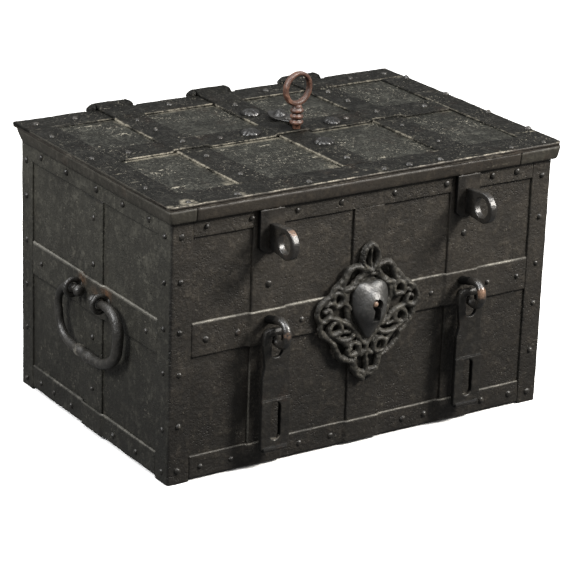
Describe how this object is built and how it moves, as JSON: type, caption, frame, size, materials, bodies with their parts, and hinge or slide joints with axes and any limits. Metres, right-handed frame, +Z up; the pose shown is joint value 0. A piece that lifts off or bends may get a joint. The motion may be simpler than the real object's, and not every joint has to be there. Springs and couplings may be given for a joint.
{
  "type": "coffer chest",
  "caption": "Small iron-plated coffer with riveted straps, hinged flat lid with a key-worked bolt lock, swinging hasps, padlock loops, drop handles and a false keyhole plate.",
  "frame": {"origin": "centre of the flat underside, on the floor", "axes": "+X along the front to the right, +Y from front to back, +Z up"},
  "size_m": [0.5454, 0.403, 0.3864],
  "materials": {
    "plate_iron": "blackened wrought iron sheet, pitted, satin",
    "strap_iron": "blackened wrought iron, edges worn bright",
    "rivet_iron": "rubbed wrought iron",
    "fitting_iron": "forged iron, rubbed",
    "lock_iron": "filed iron, oiled",
    "key_iron": "red-brown rusted iron",
    "copper_pin": "worn copper"
  },
  "bodies": {
    "chest": {"back_bottom_strap": "strap_iron", "back_left_corner_iron": "strap_iron", "back_middle_strap": "strap_iron", "back_plate": "plate_iron", "back_right_corner_iron": "strap_iron", "back_top_strap": "strap_iron", "body_rivets": "rivet_iron", "end_bottom_straps": "strap_iron", "end_middle_straps": "strap_iron", "end_top_straps": "strap_iron", "end_uprights": "strap_iron", "escutcheon_boss": "fitting_iron", "escutcheon_plate": "fitting_iron", "false_keyhole_pin": "copper_pin", "floor_plate": "plate_iron", "front_bottom_strap": "strap_iron", "front_left_corner_iron": "strap_iron", "front_middle_strap": "strap_iron", "front_plate": "plate_iron", "front_right_corner_iron": "strap_iron", "front_top_strap": "strap_iron", "front_uprights": "strap_iron", "handle_eyes": "fitting_iron", "hasp_staples": "fitting_iron", "hinge_leaves": "strap_iron", "hinge_pins": "fitting_iron", "left_plate": "plate_iron", "right_plate": "plate_iron", "rim_bars": "strap_iron"},
    "lid": {"lid_plate": "plate_iron", "lid_front_strap": "strap_iron", "lid_back_strap": "strap_iron", "lid_left_strap": "strap_iron", "lid_right_strap": "strap_iron", "lid_middle_strap": "strap_iron", "lid_hinge_straps": "strap_iron", "lid_front_rim": "strap_iron", "lid_left_rim": "strap_iron", "lid_right_rim": "strap_iron", "padlock_tongues": "fitting_iron", "padlock_loops": "fitting_iron", "lock_plate": "lock_iron", "bolt_guides": "lock_iron", "lock_bridge": "lock_iron", "cover_pin": "fitting_iron", "lid_rivets": "rivet_iron", "lock_rivets": "rivet_iron"},
    "lock_star": {"lock_star": "lock_iron"},
    "key": {"key": "key_iron"},
    "front_bolt": {"front_bolt": "lock_iron"},
    "back_bolt": {"back_bolt": "lock_iron"},
    "left_bolt": {"left_bolt": "lock_iron"},
    "right_bolt": {"right_bolt": "lock_iron"},
    "keyhole_cover": {"keyhole_cover": "fitting_iron"},
    "left_hasp": {"left_hasp": "fitting_iron"},
    "right_hasp": {"right_hasp": "fitting_iron"},
    "left_handle": {"left_handle": "fitting_iron"},
    "right_handle": {"right_handle": "fitting_iron"}
  },
  "joints": [
    {"name": "lid_open", "type": "hinge", "parent": "chest", "child": "lid", "pos_m": [0, 0.176, 0.3175], "axis": [-1, 0, 0], "range_deg": [0, 100]},
    {"name": "key_turn", "type": "hinge", "parent": "lid", "child": "lock_star", "pos_m": [0.0125, 0.0005, 0.3067], "axis": [0, 0, -1], "range_deg": [0, 60.06]},
    {"name": "key_lift", "type": "slide", "parent": "lock_star", "child": "key", "axis": [0, 0, 1], "range_m": [0, 0.045]},
    {"name": "front_bolt_throw", "type": "slide", "parent": "lid", "child": "front_bolt", "axis": [0, -1, 0], "range_m": [0, 0.014]},
    {"name": "back_bolt_throw", "type": "slide", "parent": "lid", "child": "back_bolt", "axis": [0, 1, 0], "range_m": [0, 0.01402]},
    {"name": "left_bolt_throw", "type": "slide", "parent": "lid", "child": "left_bolt", "axis": [-1, 0, 0], "range_m": [0, 0.01402]},
    {"name": "right_bolt_throw", "type": "slide", "parent": "lid", "child": "right_bolt", "axis": [1, 0, 0], "range_m": [0, 0.01402]},
    {"name": "cover_swing", "type": "hinge", "parent": "lid", "child": "keyhole_cover", "pos_m": [0.0185, 0.0275, 0.3212], "axis": [0, 0, -1], "range_deg": [0, 145]},
    {"name": "left_hasp_swing", "type": "hinge", "parent": "chest", "child": "left_hasp", "pos_m": [-0.1295, -0.188, 0.164], "axis": [-1, 0, 0], "range_deg": [0, 180]},
    {"name": "right_hasp_swing", "type": "hinge", "parent": "chest", "child": "right_hasp", "pos_m": [0.129, -0.188, 0.164], "axis": [-1, 0, 0], "range_deg": [0, 180]},
    {"name": "left_handle_swing", "type": "hinge", "parent": "chest", "child": "left_handle", "pos_m": [-0.2605, -0.005, 0.167], "axis": [0, 1, 0], "range_deg": [0, 175]},
    {"name": "right_handle_swing", "type": "hinge", "parent": "chest", "child": "right_handle", "pos_m": [0.2605, -0.005, 0.167], "axis": [0, -1, 0], "range_deg": [0, 175]}
  ],
  "couplings": [
    {"joint": "key_turn", "follows": "front_bolt_throw", "rad_per_m": 74.8},
    {"joint": "back_bolt_throw", "follows": "front_bolt_throw", "ratio": 1},
    {"joint": "left_bolt_throw", "follows": "front_bolt_throw", "ratio": 1},
    {"joint": "right_bolt_throw", "follows": "front_bolt_throw", "ratio": 1}
  ]
}
